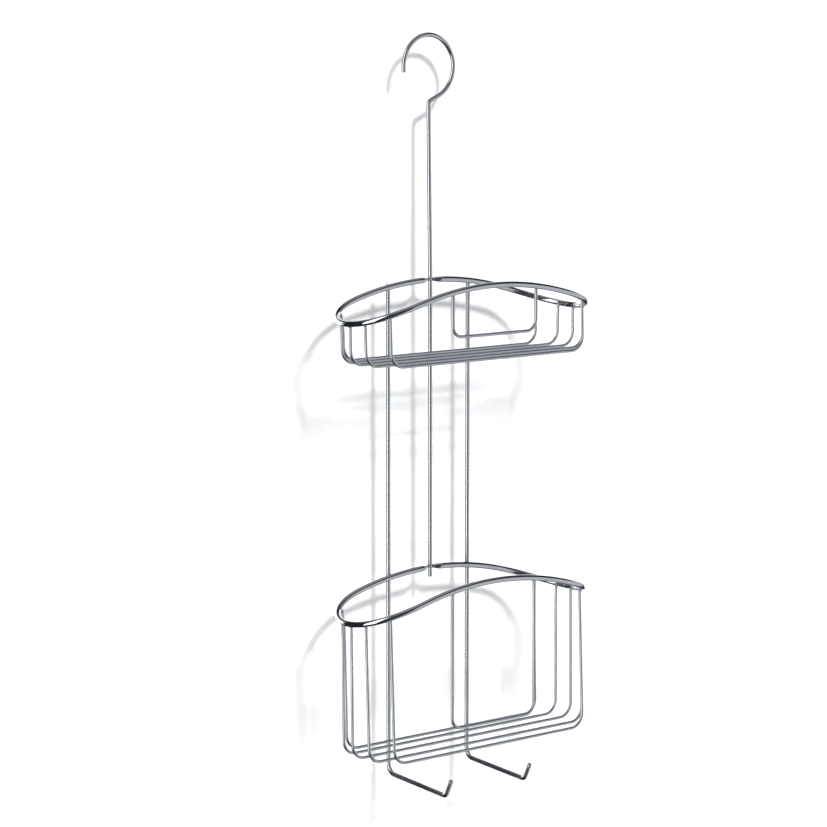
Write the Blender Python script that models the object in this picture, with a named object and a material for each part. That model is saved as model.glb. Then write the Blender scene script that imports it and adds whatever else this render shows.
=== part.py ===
"""Hanging shower caddy: two chromed wire baskets on a wire frame with a pipe hook and towel hooks."""
import math

import bpy
from mathutils import Vector

# Driving dimensions in metres. X runs along the wall, -Y points out of the wall, +Z is up.
# The origin is the underside of the top hook, where it sits on the pipe. The top hook and
# both uprights are in the plane Y = 0, and depths are measured out of the wall from it.

GAP = 0.0003             # between wires that touch on the real caddy
FRAME_RADIUS = 0.002     # hanger and uprights
RIM_RADIUS = 0.0025
BASKET_RADIUS = 0.0013
GUARD_RADIUS = 0.0014

# Top hook, hanger and uprights
HOOK_RADIUS = 0.027      # to the middle of the wire
HOOK_CENTRE_Z = FRAME_RADIUS - HOOK_RADIUS
HOOK_KNEE_DROP = 0.0295  # knee of the hanger below the hook's centre
HOOK_KNEE_BEND = 0.005
HOOK_TIP_DEG = 188       # where the open end of the hook stops, from +X
HANGER_DEPTH = 0.0025    # the hanger stands this far out where it crosses the rims
HANGER_TAIL = 0.008      # below the back of the lower rim
HANGER_SHOULDER = 0.005  # above the back of the upper rim, where the hanger starts to lean back
UPRIGHT_X = 0.044
UPRIGHT_TOP = 0.0015     # above the middle of the upper rim's wire, hidden behind it

# Rims, seen from above: straight front and back, half-ellipse ends
RIM_HALF_WIDTH = 0.1243
RIM_END_LENGTH = 0.0458
RIM_BACK = 0.0049        # clears the uprights behind it
RIM_FRONT = 0.0915
RIM_MIDDLE = (RIM_BACK + RIM_FRONT) / 2
RIM_ARCH = 0.0272        # the ends of a rim are this much lower than its middle
RIM_TILT = 0.0019        # its back is this much lower than its front
UPPER_RIM_Z = -0.2043    # middle of the front
LOWER_RIM_Z = -0.4552

# The back of each rim is pressed thin where it passes behind the hanger
PRESS_HALF_WIDTH = 0.010
PRESS_RUN = 0.011        # half of the stretch that gets closely spaced points
PRESS_RADIUS = 0.0010
PRESS_DEPTH = HANGER_DEPTH - FRAME_RADIUS - GAP - PRESS_RADIUS

# Basket wires: U shapes parallel to the wall, hung from the rim
UPPER_FLOOR_Z = -0.2672
LOWER_FLOOR_Z = -0.5995
BASKET_BEND = 0.0125
# for each wire, back to front: depth at the rim, half width, and forward lean of its legs
BASKET_WIRES = [
    (0.0183, 0.1059, 0.030),
    (0.0336, 0.1187, 0.010),
    (0.0498, 0.1220, 0.012),
    (0.0655, 0.1187, 0.037),
    (0.0808, 0.1047, 0.043),
]

# Front guard: a short U in the middle of the front of each basket
GUARD_DEPTH = 0.0890
GUARD_HALF_WIDTH = 0.0453
GUARD_ABOVE_FLOOR = 0.0215
GUARD_BEND = 0.010

# Towel hooks at the lower ends of the uprights
ARM_DROP = 0.0350        # start of the arm below the lower basket's floor
ARM_LENGTH = 0.0790
ARM_SLOPE = 0.050
ARM_BEND = 0.0085
TIP_BEND = 0.005
TIP_OUT = 0.0067
TIP_UP = 0.0141

# Steps in each kind of bend
RIM_END_STEPS = 28
RIM_STRAIGHT_STEPS = 20
PRESS_STEPS = 10
HOOK_STEPS = 40
BEND_STEPS = 7

CHROME = {"colour": (0.78, 0.80, 0.83, 1.0), "metallic": 1.0, "roughness": 0.08}


def clear_scene():
    for old in list(bpy.data.objects):
        bpy.data.objects.remove(old, do_unlink=True)


def chrome(name):
    material = bpy.data.materials.new(name + "_chrome")
    material.use_nodes = True
    shader = material.node_tree.nodes["Principled BSDF"]
    shader.inputs["Base Color"].default_value = CHROME["colour"]
    shader.inputs["Metallic"].default_value = CHROME["metallic"]
    shader.inputs["Roughness"].default_value = CHROME["roughness"]
    return material


def make_wire(collection, name, points, radius, cyclic=False, thickness=None):
    """A round wire through the points. thickness scales its radius at each point."""
    curve = bpy.data.curves.new(name, "CURVE")
    curve.dimensions = "3D"
    curve.bevel_depth = radius
    curve.bevel_resolution = 2
    curve.use_fill_caps = True
    spline = curve.splines.new("POLY")
    spline.points.add(len(points) - 1)
    spline.use_cyclic_u = cyclic
    for index, point in enumerate(points):
        spline.points[index].co = (*point, 1.0)
        spline.points[index].tilt = math.pi / 8
        if thickness:
            spline.points[index].radius = thickness[index]
    wire = bpy.data.objects.new(name, curve)
    curve.materials.append(chrome(name))
    collection.objects.link(wire)
    return wire


def bend(before, corner, after, radius):
    """Points of the arc that rounds a corner between two straight runs."""
    back = (before - corner).normalized()
    ahead = (after - corner).normalized()
    half = back.angle(ahead) / 2
    trim = radius / math.tan(half)
    centre = corner + (back + ahead).normalized() * (radius / math.sin(half))
    start = corner + back * trim - centre
    end = corner + ahead * trim - centre
    sweep = start.angle(end)
    points = []
    for step in range(BEND_STEPS + 1):
        part = step / BEND_STEPS
        along_start = start * math.sin((1 - part) * sweep)
        along_end = end * math.sin(part * sweep)
        points.append(centre + (along_start + along_end) / math.sin(sweep))
    return points


def bent_path(corners, radii):
    """A run of wire through the corners, each inner one rounded to its radius."""
    points = [corners[0]]
    for index, radius in enumerate(radii, start=1):
        points += bend(corners[index - 1], corners[index], corners[index + 1], radius)
    points.append(corners[-1])
    return points


def rim_drop(x, depth):
    """How far the rim is below the middle of its front."""
    arch = RIM_ARCH * (x / RIM_HALF_WIDTH) ** 2
    return arch + RIM_TILT * (RIM_FRONT - depth) / (RIM_FRONT - RIM_BACK)


def rim_slope(x):
    return 2 * RIM_ARCH * abs(x) / RIM_HALF_WIDTH ** 2


def press_amount(x):
    """1 at the hanger, easing to 0 at the ends of the pressed stretch."""
    reach = min(abs(x) / PRESS_HALF_WIDTH, 1.0)
    return (1 + math.cos(math.pi * reach)) / 2


def end_round(side):
    """One half-ellipse end of the rim: +1 runs front to back, -1 runs back to front."""
    straight = RIM_HALF_WIDTH - RIM_END_LENGTH
    half_depth = (RIM_FRONT - RIM_BACK) / 2
    points = []
    for step in range(RIM_END_STEPS + 1):
        angle = math.pi * step / RIM_END_STEPS
        x = side * (straight + RIM_END_LENGTH * math.sin(angle))
        points.append((x, RIM_MIDDLE + side * half_depth * math.cos(angle)))
    return points


def straight_run(x_from, x_to, depth, steps):
    """Evenly spaced points between two places on a straight side, without its ends."""
    points = []
    for step in range(1, steps):
        points.append((x_from + (x_to - x_from) * step / steps, depth))
    return points


def rim_outline():
    """The rim from above as (x, depth), clockwise from the front of its right end."""
    straight = RIM_HALF_WIDTH - RIM_END_LENGTH
    beside = RIM_STRAIGHT_STEPS // 2
    outline = end_round(1)
    outline += straight_run(straight, PRESS_HALF_WIDTH, RIM_BACK, beside)
    outline += straight_run(PRESS_RUN, -PRESS_RUN, RIM_BACK, PRESS_STEPS)
    outline += straight_run(-PRESS_HALF_WIDTH, -straight, RIM_BACK, beside)
    outline += end_round(-1)
    outline += straight_run(-straight, straight, RIM_FRONT, RIM_STRAIGHT_STEPS)
    return outline


def make_rim(collection, name, front_z):
    points = []
    thickness = []
    for x, depth in rim_outline():
        press = press_amount(x) if depth < RIM_MIDDLE else 0.0
        z = front_z - rim_drop(x, depth)
        points.append(Vector((x, -depth - press * (PRESS_DEPTH - RIM_BACK), z)))
        thickness.append(1 + press * (PRESS_RADIUS / RIM_RADIUS - 1))
    return make_wire(collection, name, points, RIM_RADIUS, True, thickness)


def leg_top(x, depth, front_z, radius):
    """Height at which an upright leg of this radius meets the underside of the rim."""
    reach = abs(x) + radius
    below = RIM_RADIUS * math.hypot(1, rim_slope(reach)) + GAP
    return front_z - rim_drop(reach, depth - radius) - below


def make_basket_wire(collection, name, shape, front_z, floor_z):
    depth, half_width, lean = shape
    top = leg_top(half_width, depth, front_z, BASKET_RADIUS)
    floor_depth = depth + lean * (top - floor_z)
    corners = [
        Vector((-half_width, -depth, top)),
        Vector((-half_width, -floor_depth, floor_z)),
        Vector((half_width, -floor_depth, floor_z)),
        Vector((half_width, -depth, top)),
    ]
    points = bent_path(corners, [BASKET_BEND, BASKET_BEND])
    return make_wire(collection, name, points, BASKET_RADIUS)


def make_guard(collection, name, front_z, floor_z):
    top = leg_top(GUARD_HALF_WIDTH, GUARD_DEPTH, front_z, GUARD_RADIUS)
    bottom = floor_z + GUARD_ABOVE_FLOOR
    corners = [
        Vector((-GUARD_HALF_WIDTH, -GUARD_DEPTH, top)),
        Vector((-GUARD_HALF_WIDTH, -GUARD_DEPTH, bottom)),
        Vector((GUARD_HALF_WIDTH, -GUARD_DEPTH, bottom)),
        Vector((GUARD_HALF_WIDTH, -GUARD_DEPTH, top)),
    ]
    points = bent_path(corners, [GUARD_BEND, GUARD_BEND])
    return make_wire(collection, name, points, GUARD_RADIUS)


def make_basket(collection, name, front_z, floor_z):
    make_rim(collection, name + "_rim", front_z)
    for number, shape in enumerate(BASKET_WIRES, start=1):
        make_basket_wire(collection, f"{name}_wire_{number}", shape, front_z, floor_z)
    make_guard(collection, name + "_guard", front_z, floor_z)


def make_upright(collection, name, x):
    """A rear upright that turns forward under the lower basket and ends in a towel hook."""
    top = UPPER_RIM_Z - rim_drop(x, RIM_BACK) + UPRIGHT_TOP
    arm_z = LOWER_FLOOR_Z - ARM_DROP
    end_z = arm_z - ARM_SLOPE * ARM_LENGTH
    corners = [
        Vector((x, 0, top)),
        Vector((x, 0, arm_z)),
        Vector((x, -ARM_LENGTH, end_z)),
        Vector((x, -ARM_LENGTH - TIP_OUT, end_z + TIP_UP)),
    ]
    points = bent_path(corners, [ARM_BEND, TIP_BEND])
    return make_wire(collection, name, points, FRAME_RADIUS)


def hook_arc():
    """The round of the top hook, from where the wire leaves the knee tangent to it."""
    knee_angle = math.acos(HOOK_RADIUS / HOOK_KNEE_DROP)
    start = knee_angle - math.pi / 2
    end = math.radians(HOOK_TIP_DEG)
    points = []
    for step in range(HOOK_STEPS + 1):
        angle = start + (end - start) * step / HOOK_STEPS
        x = HOOK_RADIUS * math.cos(angle)
        z = HOOK_CENTRE_Z + HOOK_RADIUS * math.sin(angle)
        points.append(Vector((x, 0, z)))
    return points


def make_hanger(collection, name):
    """The middle wire: up from the lower rim, past the upper one, into the top hook."""
    knee = Vector((0, 0, HOOK_CENTRE_Z - HOOK_KNEE_DROP))
    arc = hook_arc()
    tail_z = LOWER_RIM_Z - RIM_TILT - HANGER_TAIL
    shoulder_z = UPPER_RIM_Z - RIM_TILT + HANGER_SHOULDER
    tail = Vector((0, -HANGER_DEPTH, tail_z))
    shoulder = Vector((0, -HANGER_DEPTH, shoulder_z))
    points = [tail, shoulder]
    points += bend(shoulder, knee, arc[0], HOOK_KNEE_BEND)
    points += arc
    return make_wire(collection, name, points, FRAME_RADIUS)


def main():
    clear_scene()
    collection = bpy.data.collections.new("shower_caddy")
    bpy.context.scene.collection.children.link(collection)
    make_hanger(collection, "hanger_hook")
    make_upright(collection, "left_upright", -UPRIGHT_X)
    make_upright(collection, "right_upright", UPRIGHT_X)
    make_basket(collection, "upper", UPPER_RIM_Z, UPPER_FLOOR_Z)
    make_basket(collection, "lower", LOWER_RIM_Z, LOWER_FLOOR_Z)


main()
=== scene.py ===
import math

import bmesh
import bpy
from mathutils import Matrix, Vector


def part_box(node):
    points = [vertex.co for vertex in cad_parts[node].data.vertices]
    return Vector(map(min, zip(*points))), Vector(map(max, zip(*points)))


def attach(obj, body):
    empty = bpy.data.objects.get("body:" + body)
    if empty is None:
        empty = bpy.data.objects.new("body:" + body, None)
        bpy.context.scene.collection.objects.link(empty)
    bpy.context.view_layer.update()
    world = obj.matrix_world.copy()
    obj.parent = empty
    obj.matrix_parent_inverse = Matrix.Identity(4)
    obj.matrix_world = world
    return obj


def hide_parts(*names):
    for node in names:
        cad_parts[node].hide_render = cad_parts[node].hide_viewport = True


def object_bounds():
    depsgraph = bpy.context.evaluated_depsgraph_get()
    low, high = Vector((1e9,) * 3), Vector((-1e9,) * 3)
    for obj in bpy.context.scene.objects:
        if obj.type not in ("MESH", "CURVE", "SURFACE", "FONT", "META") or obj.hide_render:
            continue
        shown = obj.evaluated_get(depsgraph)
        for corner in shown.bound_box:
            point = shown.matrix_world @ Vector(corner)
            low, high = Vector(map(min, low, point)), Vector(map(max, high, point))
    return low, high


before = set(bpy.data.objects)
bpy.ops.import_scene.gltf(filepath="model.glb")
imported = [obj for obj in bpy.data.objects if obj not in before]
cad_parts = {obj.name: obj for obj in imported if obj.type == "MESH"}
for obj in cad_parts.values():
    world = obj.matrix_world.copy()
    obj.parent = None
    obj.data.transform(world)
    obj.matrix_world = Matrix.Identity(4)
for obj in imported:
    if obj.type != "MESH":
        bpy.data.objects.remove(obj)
cadLow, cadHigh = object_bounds()

# everything is in metres, X along the wall, -Y towards the room, Z up
flatReach = math.cos(math.pi / 8)   # CAD wires have eight flat sides, this far out on a unit wire
wireGap = 0.0003

camera = dict(
    lookAt=(-0.0162, 0.0, -0.3214), distance=2.430, azimuth=-38.54, elevation=8.04,
    lens=122.8, sensor=36, near=0.05, far=60,
)


def placeCamera():
    data = bpy.data.cameras.new("mainCamera")
    data.lens = camera["lens"]
    data.sensor_width = camera["sensor"]
    data.clip_start = camera["near"]
    data.clip_end = camera["far"]
    eye = bpy.data.objects.new("mainCamera", data)
    bpy.context.collection.objects.link(eye)
    turn = math.radians(camera["azimuth"])
    rise = math.radians(camera["elevation"])
    back = Vector((math.sin(turn) * math.cos(rise), -math.cos(turn) * math.cos(rise), math.sin(rise)))
    eye.location = Vector(camera["lookAt"]) + back * camera["distance"]
    eye.rotation_mode = "QUATERNION"
    eye.rotation_quaternion = (-back).to_track_quat("-Z", "Y")
    bpy.context.scene.camera = eye


placeCamera()
print("camera set")


# finishes

frameFinish = dict(name="frameChrome", tint=(0.80, 0.82, 0.85), dull=(0.70, 0.72, 0.76), rough=(0.20, 0.28))
rimFinish = dict(name="rimChrome", tint=(0.82, 0.84, 0.86), dull=(0.72, 0.74, 0.77), rough=(0.03, 0.10))
basketFinish = dict(name="basketChrome", tint=(0.77, 0.80, 0.84), dull=(0.66, 0.69, 0.74), rough=(0.27, 0.36))
weldFinish = dict(name="weldChrome", tint=(0.72, 0.73, 0.75), dull=(0.56, 0.57, 0.60), rough=(0.12, 0.28))

grain = dict(
    # finger marks and dried film, about 25 mm across
    smudge=38, smudgeDetail=5, smudgeRoughness=0.62, film=(0.35, 0.70), worn=(0.45, 0.80), smudgeWear=0.45,
    # long faint lines left by drawing the wire
    drawnAround=22, drawnAlong=16, drawnDetail=3, lines=(0.55, 0.75), lineRough=0.025, drawnHeight=0.70,
    # fine pitting under the plate
    speckle=1300, speckleDetail=2, speckleHeight=0.30,
    # dried water spots, only where the film is wet
    spot=190, spotSize=0.16, spotCore=0.6, wet=(0.52, 0.66), spotRough=0.08, spotWear=0.25,
    # plate dulled beside a weld
    heatRough=0.16, heatWear=0.6,
    bump=0.006, bumpDepth=0.0001,
)


def addNode(tree, kind, **settings):
    node = tree.nodes.new(kind)
    for key, value in settings.items():
        setattr(node, key, value)
    return node


def remap(tree, source, low, high, outLow, outHigh):
    node = addNode(tree, "ShaderNodeMapRange", clamp=True)
    node.inputs["From Min"].default_value = low
    node.inputs["From Max"].default_value = high
    node.inputs["To Min"].default_value = outLow
    node.inputs["To Max"].default_value = outHigh
    tree.links.new(source, node.inputs["Value"])
    return node.outputs["Result"]


def combine(tree, operation, first, second):
    node = addNode(tree, "ShaderNodeMath", operation=operation)
    for socket, value in zip(node.inputs, (first, second)):
        if isinstance(value, (int, float)):
            socket.default_value = value
        else:
            tree.links.new(value, socket)
    return node.outputs["Value"]


def noise(tree, vector, scale, detail, roughness=0.5):
    node = addNode(tree, "ShaderNodeTexNoise")
    node.inputs["Scale"].default_value = scale
    node.inputs["Detail"].default_value = detail
    node.inputs["Roughness"].default_value = roughness
    tree.links.new(vector, node.inputs["Vector"])
    return node.outputs["Fac"]


def stretched(tree, vector, scale):
    node = addNode(tree, "ShaderNodeMapping")
    node.inputs["Scale"].default_value = scale
    tree.links.new(vector, node.inputs["Vector"])
    return node.outputs["Vector"]


def chromeMaterial(finish):
    material = bpy.data.materials.new(finish["name"])
    material.use_nodes = True
    tree = material.node_tree
    shader = tree.nodes["Principled BSDF"]
    shader.inputs["Metallic"].default_value = 1.0
    place = addNode(tree, "ShaderNodeTexCoord")
    byPlace = place.outputs["Object"]
    byWire = place.outputs["UV"]

    smudge = noise(tree, byPlace, grain["smudge"], grain["smudgeDetail"], grain["smudgeRoughness"])
    alongWire = stretched(tree, byWire, (grain["drawnAround"], grain["drawnAlong"], 1))
    drawn = noise(tree, alongWire, 1.0, grain["drawnDetail"])
    speckle = noise(tree, byPlace, grain["speckle"], grain["speckleDetail"])
    spots = addNode(tree, "ShaderNodeTexVoronoi", feature="F1")
    spots.inputs["Scale"].default_value = grain["spot"]
    tree.links.new(byPlace, spots.inputs["Vector"])
    spotCore = grain["spotSize"] * grain["spotCore"]
    spotRound = remap(tree, spots.outputs["Distance"], spotCore, grain["spotSize"], 1, 0)
    spotMask = combine(tree, "MULTIPLY", spotRound, remap(tree, smudge, *grain["wet"], 0, 1))

    heat = addNode(tree, "ShaderNodeAttribute", attribute_name="weldHeat").outputs["Fac"]
    film = remap(tree, smudge, *grain["film"], *finish["rough"])
    lines = remap(tree, drawn, *grain["lines"], 0, grain["lineRough"])
    rough = combine(tree, "ADD", film, lines)
    rough = combine(tree, "ADD", rough, combine(tree, "MULTIPLY", spotMask, grain["spotRough"]))
    rough = combine(tree, "ADD", rough, combine(tree, "MULTIPLY", heat, grain["heatRough"]))
    tree.links.new(rough, shader.inputs["Roughness"])

    rubbed = remap(tree, smudge, *grain["worn"], 0, grain["smudgeWear"])
    worn = combine(tree, "ADD", rubbed, combine(tree, "MULTIPLY", spotMask, grain["spotWear"]))
    worn = combine(tree, "ADD", worn, combine(tree, "MULTIPLY", heat, grain["heatWear"]))
    colour = addNode(tree, "ShaderNodeMix", data_type="RGBA", clamp_factor=True)
    colour.inputs["A"].default_value = (*finish["tint"], 1)
    colour.inputs["B"].default_value = (*finish["dull"], 1)
    tree.links.new(worn, colour.inputs["Factor"])
    tree.links.new(colour.outputs["Result"], shader.inputs["Base Color"])

    pits = combine(tree, "MULTIPLY", speckle, grain["speckleHeight"])
    height = combine(tree, "ADD", pits, combine(tree, "MULTIPLY", drawn, grain["drawnHeight"]))
    relief = addNode(tree, "ShaderNodeBump")
    relief.inputs["Strength"].default_value = grain["bump"]
    relief.inputs["Distance"].default_value = grain["bumpDepth"]
    tree.links.new(height, relief.inputs["Height"])
    tree.links.new(relief.outputs["Normal"], shader.inputs["Normal"])
    return material


frameChrome = chromeMaterial(frameFinish)
rimChrome = chromeMaterial(rimFinish)
basketChrome = chromeMaterial(basketFinish)
weldChrome = chromeMaterial(weldFinish)
print("chrome finishes made")


# wire tools

wireMesh = dict(
    sides=28, bendStep=math.radians(5), longStep=0.006,
    endRound=0.35, endSteps=4,
    heatReach=0.0045, heatFade=1.5,   # how far a weld's heat mark runs along the wire, and how fast it fades
)


def arcThrough(before, corner, after, radius):
    back = (before - corner).normalized()
    ahead = (after - corner).normalized()
    half = back.angle(ahead) / 2
    centre = corner + (back + ahead).normalized() * (radius / math.sin(half))
    trim = radius / math.tan(half)
    start = corner + back * trim - centre
    end = corner + ahead * trim - centre
    sweep = start.angle(end)
    steps = max(3, math.ceil(sweep / wireMesh["bendStep"]))
    points = []
    for step in range(steps + 1):
        part = step / steps
        mixed = start * math.sin((1 - part) * sweep) + end * math.sin(part * sweep)
        points.append(centre + mixed / math.sin(sweep))
    return points


def bentPath(corners, radii):
    points = [corners[0]]
    for index, radius in enumerate(radii, start=1):
        points += arcThrough(corners[index - 1], corners[index], corners[index + 1], radius)
    points.append(corners[-1])
    return points


def filled(points, closed=False):
    # long straight stretches get points of their own, so that heat marks have vertices to sit on
    path = []
    count = len(points)
    for index in range(count if closed else count - 1):
        here = points[index]
        there = points[(index + 1) % count]
        steps = max(1, math.ceil((there - here).length / wireMesh["longStep"]))
        path += [here.lerp(there, step / steps) for step in range(steps)]
    if not closed:
        path.append(points[-1])
    return path


def tangents(path, closed):
    count = len(path)
    found = []
    for index in range(count):
        before = path[index - 1] if closed or index else path[0]
        after = path[(index + 1) % count] if closed or index < count - 1 else path[-1]
        found.append((after - before).normalized())
    return found


def crossAxes(path, closed, fixedUp):
    # fixedUp holds the section level all the way round, otherwise it is carried along without twist
    ways = tangents(path, closed)
    if fixedUp is not None:
        sides = [way.cross(fixedUp).normalized() for way in ways]
        return [(side, side.cross(way).normalized()) for side, way in zip(sides, ways)]
    start = Vector((1, 0, 0)) if abs(ways[0].x) < 0.9 else Vector((0, 1, 0))
    side = (start - ways[0] * start.dot(ways[0])).normalized()
    axes = []
    for index, way in enumerate(ways):
        if index:
            side = ways[index - 1].rotation_difference(way) @ side
            side = (side - way * side.dot(way)).normalized()
        axes.append((side, side.cross(way).normalized()))
    return axes


def wireEnd(bm, ring, centre, outward, radius):
    # a cropped and tumbled end: the edge rolls over onto a flat face
    roll = radius * wireMesh["endRound"]
    last = ring
    for step in range(1, wireMesh["endSteps"] + 1):
        angle = math.pi / 2 * step / wireMesh["endSteps"]
        size = (radius - roll + roll * math.cos(angle)) / radius
        forward = outward * (roll * math.sin(angle))
        new = [bm.verts.new(centre + (vert.co - centre) * size + forward) for vert in ring]
        joinRings(bm, last, new)
        last = new
    bm.faces.new(last)


def joinRings(bm, first, second):
    count = len(first)
    for index in range(count):
        after = (index + 1) % count
        bm.faces.new((first[index], first[after], second[after], second[index]))


def writeUvs(bm, lengths):
    # u runs round the wire, v along it in metres
    layer = bm.loops.layers.uv.new("UVMap")
    for face in bm.faces:
        around = [lengths[loop.vert.index][0] for loop in face.loops]
        wraps = max(around) - min(around) > 0.5
        for loop, turn in zip(face.loops, around):
            loop[layer].uv = (turn + 1 if wraps and turn < 0.5 else turn, lengths[loop.vert.index][1])


def heatAt(place, welds):
    nearest = min(((place - weld).length for weld in welds), default=1)
    return max(0.0, 1 - nearest / wireMesh["heatReach"]) ** wireMesh["heatFade"]


def makeWire(name, path, radius, welds=(), closed=False, fixedUp=None, shape=None):
    # shape gives each path point its own (sideways, upright) size as parts of the radius
    bm = bmesh.new()
    sides = wireMesh["sides"]
    axes = crossAxes(path, closed, fixedUp)
    rings = []
    for index, (centre, (side, up)) in enumerate(zip(path, axes)):
        wide, tall = shape[index] if shape else (1, 1)
        ring = []
        for step in range(sides):
            angle = 2 * math.pi * step / sides
            offset = side * (radius * wide * math.cos(angle)) + up * (radius * tall * math.sin(angle))
            ring.append(bm.verts.new(centre + offset))
        rings.append(ring)
    for first, second in zip(rings, rings[1:]):
        joinRings(bm, first, second)
    if closed:
        joinRings(bm, rings[-1], rings[0])
    else:
        ways = tangents(path, False)
        wireEnd(bm, rings[0], path[0], -ways[0], radius * (shape[0][0] if shape else 1))
        wireEnd(bm, rings[-1], path[-1], ways[-1], radius * (shape[-1][0] if shape else 1))
    bmesh.ops.recalc_face_normals(bm, faces=bm.faces)
    bm.verts.index_update()
    run = [0.0]
    for here, there in zip(path, path[1:]):
        run.append(run[-1] + (there - here).length)
    lengths = {}
    for vert in bm.verts:
        ringIndex = min(vert.index // sides, len(path) - 1)
        lengths[vert.index] = ((vert.index % sides) / sides, run[ringIndex])
    writeUvs(bm, lengths)
    return finishMesh(name, bm, welds)


def finishMesh(name, bm, welds):
    mesh = bpy.data.meshes.new(name)
    bm.to_mesh(mesh)
    bm.free()
    mesh.shade_smooth()
    heat = mesh.attributes.new("weldHeat", "FLOAT", "POINT")
    for vert in mesh.vertices:
        heat.data[vert.index].value = heatAt(vert.co, welds)
    piece = bpy.data.objects.new(name, mesh)
    bpy.context.collection.objects.link(piece)
    return piece


def hand(piece, slotName, material, *nodes):
    piece.data.materials.append(material)
    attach(piece, "root")
    if nodes:
        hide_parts(*nodes)
    return piece


# rims: long loops with half-ellipse ends, arched along X, pressed thin behind the hanger

rim = dict(
    radius=0.0025, endLength=0.0458, backDepth=0.0049, arch=0.0272, tilt=0.0019,
    endSteps=80, sideSteps=60,
    pressHalfWidth=0.010, pressDepth=-0.0009, pressWide=0.38, pressTall=0.38,
)
rimUp = Vector((0, 0, 1))


def rimShape(node):
    low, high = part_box(node)
    reach = rim["radius"] * flatReach
    front = -low.y - reach
    middle = (front + rim["backDepth"]) / 2
    return dict(halfWidth=high.x - reach, front=front, middle=middle, peak=high.z - reach)


def rimHeight(shape, x, depth):
    # arched along X, and its back sits a little lower than its front
    behind = (shape["front"] - depth) / (shape["front"] - rim["backDepth"])
    return shape["peak"] - rim["arch"] * (x / shape["halfWidth"]) ** 2 - rim["tilt"] * behind


def rimSpot(shape, x, depth):
    return Vector((x, -depth, rimHeight(shape, x, depth)))


def rimPlan(shape):
    straight = shape["halfWidth"] - rim["endLength"]
    halfDepth = (shape["front"] - rim["backDepth"]) / 2
    plan = []
    for side in (1, -1):
        for step in range(rim["endSteps"]):
            angle = math.pi * step / rim["endSteps"]
            x = side * (straight + rim["endLength"] * math.sin(angle))
            plan.append((x, shape["middle"] + side * halfDepth * math.cos(angle)))
        for step in range(rim["sideSteps"]):
            x = side * straight * (1 - 2 * step / rim["sideSteps"])
            plan.append((x, shape["middle"] - side * halfDepth))
    return plan


def pressAt(x, depth, shape):
    if depth > shape["middle"]:
        return 0.0
    reach = min(abs(x) / rim["pressHalfWidth"], 1.0)
    return (1 + math.cos(math.pi * reach)) / 2


def makeRim(name, node, welds):
    shape = rimShape(node)
    path = []
    sections = []
    for x, depth in rimPlan(shape):
        press = pressAt(x, depth, shape)
        height = rimHeight(shape, x, depth)
        path.append(Vector((x, -depth - press * (rim["pressDepth"] - depth), height)))
        sections.append((1 + press * (rim["pressWide"] - 1), 1 + press * (rim["pressTall"] - 1)))
    piece = makeWire(name, path, rim["radius"], welds, closed=True, fixedUp=rimUp, shape=sections)
    return hand(piece, "rim_wire", rimChrome, node)


# basket wires and guards: U shapes hung from the rim

basket = dict(radius=0.0013, bend=0.0125)
guard = dict(radius=0.0014, bend=0.010)
legs = dict(
    sink=0.0003,      # how far a leg bites into the rim
    inside=0.72,      # how far inside the rim's middle a leg may end, as a part of the touching distance
    slopePart=0.6,    # share of the rim's slope that lowers the leg's end
    setOver=0.016,    # the stretch over which a leg is set over to the rim
    setSteps=12,
)


def nearestOnRim(shape, place):
    points = [rimSpot(shape, x, depth) for x, depth in rimPlan(shape)]
    return min(points, key=lambda point: (point.xy - place.xy).length)


def legTop(shape, spec, place):
    # a leg ends just under the rim, set over sideways when it stands too far inside it
    above = nearestOnRim(shape, place)
    aside = above.xy - place.xy
    touch = rim["radius"] + spec["radius"] - legs["sink"]
    shift = max(0.0, aside.length - touch * legs["inside"])
    aside *= shift / max(aside.length, 1e-6)
    top = Vector((place.x + aside.x, place.y + aside.y, 0))
    left = (above.xy - top.xy).length
    slope = 2 * rim["arch"] * abs(top.x) / shape["halfWidth"] ** 2
    top.z = above.z - math.sqrt(max(touch ** 2 - left ** 2, 0)) * math.hypot(1, slope * legs["slopePart"])
    return top, above


def legPath(low, high, top):
    # straight up from low, then eased over to the top within the last stretch below the rim
    shift = top - high
    run = high.z - low.z
    steps = math.ceil(run / wireMesh["longStep"])
    path = []
    for step in range(steps):
        point = low.lerp(high, step / steps)
        if high.z - point.z > legs["setOver"]:
            path.append(point)
    for step in range(1, legs["setSteps"] + 1):
        part = step / legs["setSteps"]
        ease = part * part * (3 - 2 * part)
        base = low.lerp(high, 1 - (1 - part) * legs["setOver"] / run)
        path.append(base + Vector((shift.x * ease, shift.y * ease, shift.z * part)))
    return path


def makeU(name, node, spec, shape):
    low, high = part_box(node)
    reach = spec["radius"] * flatReach
    x = high.x - reach
    bottom = low.z + reach
    topY = high.y - reach
    bottomY = low.y + reach
    halves = []
    joints = []
    for side in (-1, 1):
        corner = Vector((side * x, bottomY, bottom))
        straight = Vector((side * x, topY, high.z))
        top, above = legTop(shape, spec, straight)
        turn = arcThrough(Vector((0, bottomY, bottom)), corner, straight, spec["bend"])
        halves.append(turn[:-1] + legPath(turn[-1], straight, top))
        joints.append((top, top.lerp(above, (spec["radius"] - legs["sink"]) / (top - above).length), above))
    left, right = halves
    floor = filled([left[0], right[0]])
    path = left[:0:-1] + floor + right[1:]
    piece = makeWire(name, path, spec["radius"], [joint for _, joint, _ in joints])
    hand(piece, "basket_wire", basketChrome, node)
    return joints


# weld nuggets: small smooth lumps where two wires were fused before plating

nugget = dict(
    rings=14, segments=20, lump=0.05, lumpWaves=(7, 3, 5),
    leg=(0.0016, 0.0016, 0.0011), upright=(0.0021, 0.0021, 0.0011), hanger=(0.0017, 0.0012, 0.0007),
)


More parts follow.
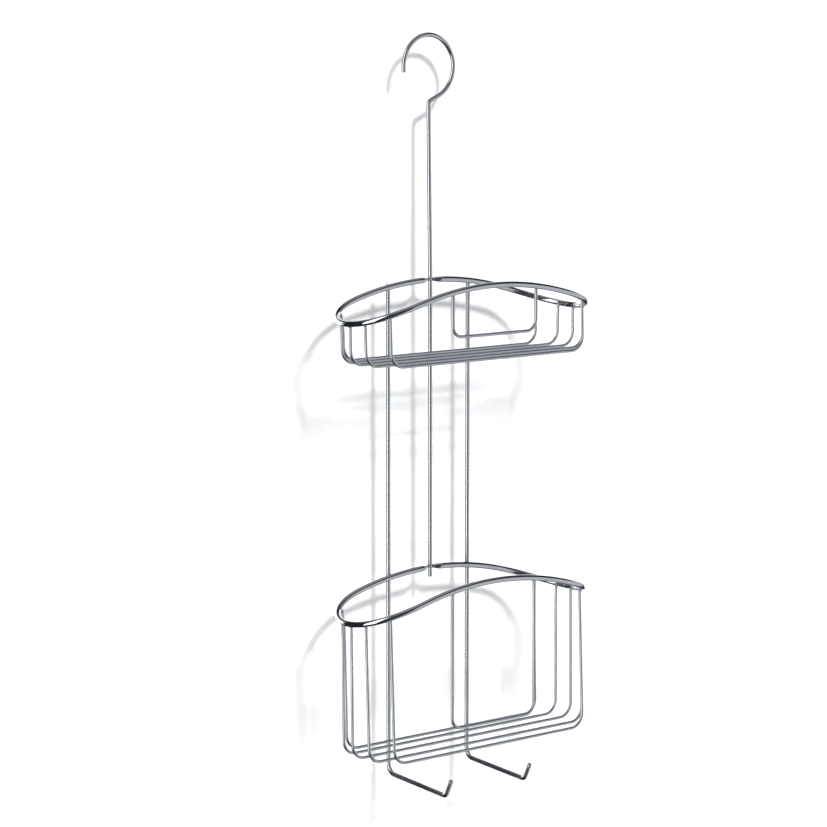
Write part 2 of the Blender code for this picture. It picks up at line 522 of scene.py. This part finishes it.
def addNugget(bm, centre, size, along):
    # size is (across, across, along) half lengths, along is the direction of its long way
    turn = Vector((0, 0, 1)).rotation_difference(along)
    made = bmesh.ops.create_uvsphere(bm, u_segments=nugget["segments"], v_segments=nugget["rings"], radius=1)
    waveX, waveZ, waveY = nugget["lumpWaves"]
    for vert in made["verts"]:
        wave = math.sin(waveX * vert.co.x + waveZ * vert.co.z) * math.cos(waveY * vert.co.y)
        lump = 1 + nugget["lump"] * wave
        local = Vector((vert.co.x * size[0], vert.co.y * size[1], vert.co.z * size[2])) * lump
        vert.co = centre + turn @ local


def makeWelds(name, spots):
    bm = bmesh.new()
    for centre, size, along in spots:
        addNugget(bm, centre, size, along)
    piece = finishMesh(name, bm, [])
    return hand(piece, "rim_wire", weldChrome)


# one basket with its rim, wires, guard and welds

wireCount = 5


def makeBasket(label):
    rimNode = label + "_rim"
    shape = rimShape(rimNode)
    spots = []
    joints = []
    for number in range(1, wireCount + 1):
        joints += makeU(f"{label}Wire{number}", f"{label}_wire_{number}", basket, shape)
    joints += makeU(label + "Guard", label + "_guard", guard, shape)
    for top, joint, above in joints:
        spots.append((joint, nugget["leg"], (above - top).normalized()))
    uprightX = frameWire["uprightX"]
    crossZ = rimHeight(shape, uprightX, rim["backDepth"])
    contactY = -(frameWire["radius"] + wireGap / 2)
    for side in (-1, 1):
        centre = Vector((side * uprightX, contactY, crossZ))
        spots.append((centre, nugget["upright"], Vector((0, 1, 0))))
    hangerY = -frameWire["hangerDepth"] + frameWire["radius"] + wireGap / 2
    centre = Vector((0, hangerY, rimHeight(shape, 0, rim["backDepth"])))
    spots.append((centre, nugget["hanger"], Vector((0, 1, 0))))
    makeRim(label + "Rim", rimNode, [spot[0] for spot in spots])
    makeWelds(label + "Welds", spots)
    return spots


# hanger with the top hook, and the two uprights with towel hooks

frameWire = dict(
    radius=0.002, uprightX=0.044, hangerDepth=0.0025,
    hookRadius=0.027, kneeDrop=0.0295, kneeBend=0.005, hookTip=188, hookSteps=90,
    shoulder=0.005, armLength=0.0790, armSlope=0.050,
    armBend=0.0085, tipBend=0.005, tipOut=0.0067, tipUp=0.0141,
)


def hookRound(centre):
    start = math.acos(frameWire["hookRadius"] / frameWire["kneeDrop"]) - math.pi / 2
    end = math.radians(frameWire["hookTip"])
    points = []
    for step in range(frameWire["hookSteps"] + 1):
        angle = start + (end - start) * step / frameWire["hookSteps"]
        offset = Vector((math.cos(angle), 0, math.sin(angle))) * frameWire["hookRadius"]
        points.append(centre + offset)
    return points


def makeHanger(welds):
    low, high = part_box("hanger_hook")
    centre = Vector((0, 0, high.z - frameWire["radius"] * flatReach - frameWire["hookRadius"]))
    knee = centre - Vector((0, 0, frameWire["kneeDrop"]))
    shoulderZ = rimHeight(rimShape("upper_rim"), 0, rim["backDepth"]) + frameWire["shoulder"]
    tail = Vector((0, -frameWire["hangerDepth"], low.z))
    shoulder = Vector((0, -frameWire["hangerDepth"], shoulderZ))
    arc = hookRound(centre)
    rise = filled([tail, shoulder])
    knees = arcThrough(shoulder, knee, arc[0], frameWire["kneeBend"])
    path = rise + filled([shoulder, knees[0]])[1:] + knees[1:] + arc
    piece = makeWire("hangerHook", path, frameWire["radius"], welds)
    return hand(piece, "frame_wire", frameChrome, "hanger_hook")


def makeUpright(name, node, side, welds):
    low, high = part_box(node)
    x = side * frameWire["uprightX"]
    out = frameWire["armLength"]
    endZ = low.z + frameWire["radius"] * flatReach
    armZ = endZ + frameWire["armSlope"] * out
    corners = [
        Vector((x, 0, high.z)),
        Vector((x, 0, armZ)),
        Vector((x, -out, endZ)),
        Vector((x, -out - frameWire["tipOut"], endZ + frameWire["tipUp"])),
    ]
    path = filled(bentPath(corners, [frameWire["armBend"], frameWire["tipBend"]]))
    piece = makeWire(name, path, frameWire["radius"], welds)
    return hand(piece, "frame_wire", frameChrome, node)


welds = []
for label in ("upper", "lower"):
    welds += makeBasket(label)
    print(label, "basket made")
weldPlaces = [spot[0] for spot in welds]
nearWire = 2 * frameWire["radius"]
makeHanger([place for place in weldPlaces if abs(place.x) < nearWire])
for label, side in (("left", -1), ("right", 1)):
    places = [place for place in weldPlaces if abs(place.x - side * frameWire["uprightX"]) < nearWire]
    makeUpright(label + "Upright", label + "_upright", side, places)
print("hanger and uprights made")


# studio: a pale wall that runs into a pale floor, lit from the front and above

stage = dict(wallY=0.020, halfWidth=3.0, top=1.3, floor=-0.80, cove=0.10, front=-3.6, coveSteps=12,
             white=0.93, fade=(1.3, 2.8))


def makeSweep():
    profile = [(stage["wallY"], stage["top"])]
    for step in range(stage["coveSteps"] + 1):
        angle = math.pi / 2 * step / stage["coveSteps"]
        y = stage["wallY"] - stage["cove"] * (1 - math.cos(angle))
        z = stage["floor"] + stage["cove"] * (1 - math.sin(angle))
        profile.append((y, z))
    profile.append((stage["front"], stage["floor"]))
    bm = bmesh.new()
    rows = []
    for y, z in profile:
        rows.append([bm.verts.new((x, y, z)) for x in (-stage["halfWidth"], stage["halfWidth"])])
    for first, second in zip(rows, rows[1:]):
        bm.faces.new((first[0], second[0], second[1], first[1]))
    mesh = bpy.data.meshes.new("studioSweep")
    bm.to_mesh(mesh)
    bm.free()
    mesh.shade_smooth()
    sweep = bpy.data.objects.new("studioSweep", mesh)
    bpy.context.collection.objects.link(sweep)
    sweep.data.materials.append(sweepMaterial())
    sweep.visible_glossy = False


def sweepMaterial():
    # matt white, open from behind so that the back of the caddy shows, and thinning out far from it
    material = bpy.data.materials.new("sweepPaper")
    material.use_nodes = True
    tree = material.node_tree
    shader = tree.nodes["Principled BSDF"]
    shader.inputs["Base Color"].default_value = (stage["white"], stage["white"], stage["white"], 1)
    shader.inputs["Roughness"].default_value = 0.95
    shader.inputs["Specular IOR Level"].default_value = 0.0
    side = addNode(tree, "ShaderNodeNewGeometry")
    place = addNode(tree, "ShaderNodeTexCoord")
    split = addNode(tree, "ShaderNodeSeparateXYZ")
    tree.links.new(place.outputs["Object"], split.inputs["Vector"])
    across = combine(tree, "POWER", split.outputs["X"], 2)
    forward = combine(tree, "POWER", split.outputs["Y"], 2)
    distance = combine(tree, "SQRT", combine(tree, "ADD", across, forward), 0)
    faded = remap(tree, distance, *stage["fade"], 0, 1)
    gone = combine(tree, "MAXIMUM", side.outputs["Backfacing"], faded)
    clear = addNode(tree, "ShaderNodeBsdfTransparent")
    mix = addNode(tree, "ShaderNodeMixShader")
    tree.links.new(gone, mix.inputs["Fac"])
    tree.links.new(shader.outputs["BSDF"], mix.inputs[1])
    tree.links.new(clear.outputs["BSDF"], mix.inputs[2])
    tree.links.new(mix.outputs["Shader"], tree.nodes["Material Output"].inputs["Surface"])
    return material


# angles in degrees, azimuth 0 is straight out into the room and grows to the right
lamps = [
    dict(name="keyLamp", azimuth=2, elevation=44, distance=6.0, width=1.1, height=0.8, strength=131),
    dict(name="fillLamp", azimuth=10, elevation=-10, distance=3.2, width=3.0, height=1.6, strength=0.40),
]


def away(azimuth, elevation):
    turn = math.radians(azimuth)
    rise = math.radians(elevation)
    return Vector((math.sin(turn) * math.cos(rise), -math.cos(turn) * math.cos(rise), math.sin(rise)))


def addLamp(spec):
    data = bpy.data.lights.new(spec["name"], "AREA")
    data.shape = "RECTANGLE"
    data.size = spec["width"]
    data.size_y = spec["height"]
    data.energy = spec["strength"] * math.pi * spec["width"] * spec["height"]
    lamp = bpy.data.objects.new(spec["name"], data)
    bpy.context.collection.objects.link(lamp)
    lamp.visible_glossy = False   # the chrome shows the panels below, not the lamps
    lamp.visible_camera = False
    direction = away(spec["azimuth"], spec["elevation"])
    lamp.location = (cadLow + cadHigh) / 2 + direction * spec["distance"]
    lamp.rotation_mode = "QUATERNION"
    lamp.rotation_quaternion = direction.to_track_quat("Z", "Y")


# what the chrome reflects, each panel with soft edges and dark between them: a bright one on the left,
# a weak strip in front, a grey room low on the right, white from the wall side, and a weak one overhead
panels = [
    dict(azimuth=(-90, -60), elevation=(-34, 50), edge=3, strength=2.2, tint=(0.97, 0.985, 1.0)),
    dict(azimuth=(-62, 6), elevation=(-13, -3), edge=4, strength=0.17, tint=(0.95, 0.97, 1.0)),
    dict(azimuth=(10, 97), elevation=(-80, 18), edge=7, strength=0.50, tint=(0.96, 0.97, 1.0)),
    dict(azimuth=(108, 190), elevation=(-24, 26), edge=5, strength=1.3, tint=(1.0, 1.0, 1.0)),
    dict(azimuth=(-190, -152), elevation=(-24, 26), edge=5, strength=1.3, tint=(1.0, 1.0, 1.0)),
    dict(azimuth=(-190, 190), elevation=(50, 100), edge=12, strength=0.25, tint=(0.98, 0.99, 1.0)),
]
surround = dict(seen=1.0, dark=(0.018, 0.020, 0.026))


def ramp(tree, source, low, high):
    node = addNode(tree, "ShaderNodeMapRange", interpolation_type="SMOOTHSTEP")
    node.inputs["From Min"].default_value = math.radians(low)
    node.inputs["From Max"].default_value = math.radians(high)
    tree.links.new(source, node.inputs["Value"])
    return node.outputs["Result"]


def panelMask(tree, azimuth, elevation, spec):
    edge = spec["edge"]
    mask = 1.0
    for angle, (low, high) in ((azimuth, spec["azimuth"]), (elevation, spec["elevation"])):
        inside = combine(tree, "MULTIPLY", ramp(tree, angle, low - edge, low + edge),
                         ramp(tree, angle, high + edge, high - edge))
        mask = combine(tree, "MULTIPLY", inside, mask)
    return mask


def makeSurround():
    world = bpy.data.worlds.new("studioSurround")
    bpy.context.scene.world = world
    world.use_nodes = True
    tree = world.node_tree
    heading = addNode(tree, "ShaderNodeTexCoord")
    split = addNode(tree, "ShaderNodeSeparateXYZ")
    tree.links.new(heading.outputs["Generated"], split.inputs["Vector"])
    intoRoom = combine(tree, "MULTIPLY", split.outputs["Y"], -1.0)
    azimuth = combine(tree, "ARCTAN2", split.outputs["X"], intoRoom)
    elevation = combine(tree, "ARCSINE", split.outputs["Z"], 0)
    background = tree.nodes["Background"]
    background.inputs["Color"].default_value = (*surround["dark"], 1)
    total = background.outputs["Background"]
    for spec in panels:
        panel = addNode(tree, "ShaderNodeBackground")
        panel.inputs["Color"].default_value = (*spec["tint"], 1)
        mask = panelMask(tree, azimuth, elevation, spec)
        tree.links.new(combine(tree, "MULTIPLY", mask, spec["strength"]), panel.inputs["Strength"])
        join = addNode(tree, "ShaderNodeAddShader")
        tree.links.new(total, join.inputs[0])
        tree.links.new(panel.outputs["Background"], join.inputs[1])
        total = join.outputs["Shader"]
    pale = addNode(tree, "ShaderNodeBackground")
    pale.inputs["Color"].default_value = (1, 1, 1, 1)
    pale.inputs["Strength"].default_value = surround["seen"]
    path = addNode(tree, "ShaderNodeLightPath")
    mix = addNode(tree, "ShaderNodeMixShader")
    tree.links.new(path.outputs["Is Camera Ray"], mix.inputs["Fac"])
    tree.links.new(total, mix.inputs[1])
    tree.links.new(pale.outputs["Background"], mix.inputs[2])
    tree.links.new(mix.outputs["Shader"], tree.nodes["World Output"].inputs["Surface"])


makeSweep()
for spec in lamps:
    addLamp(spec)
makeSurround()
bpy.context.scene.view_settings.view_transform = "Standard"
print("studio set")
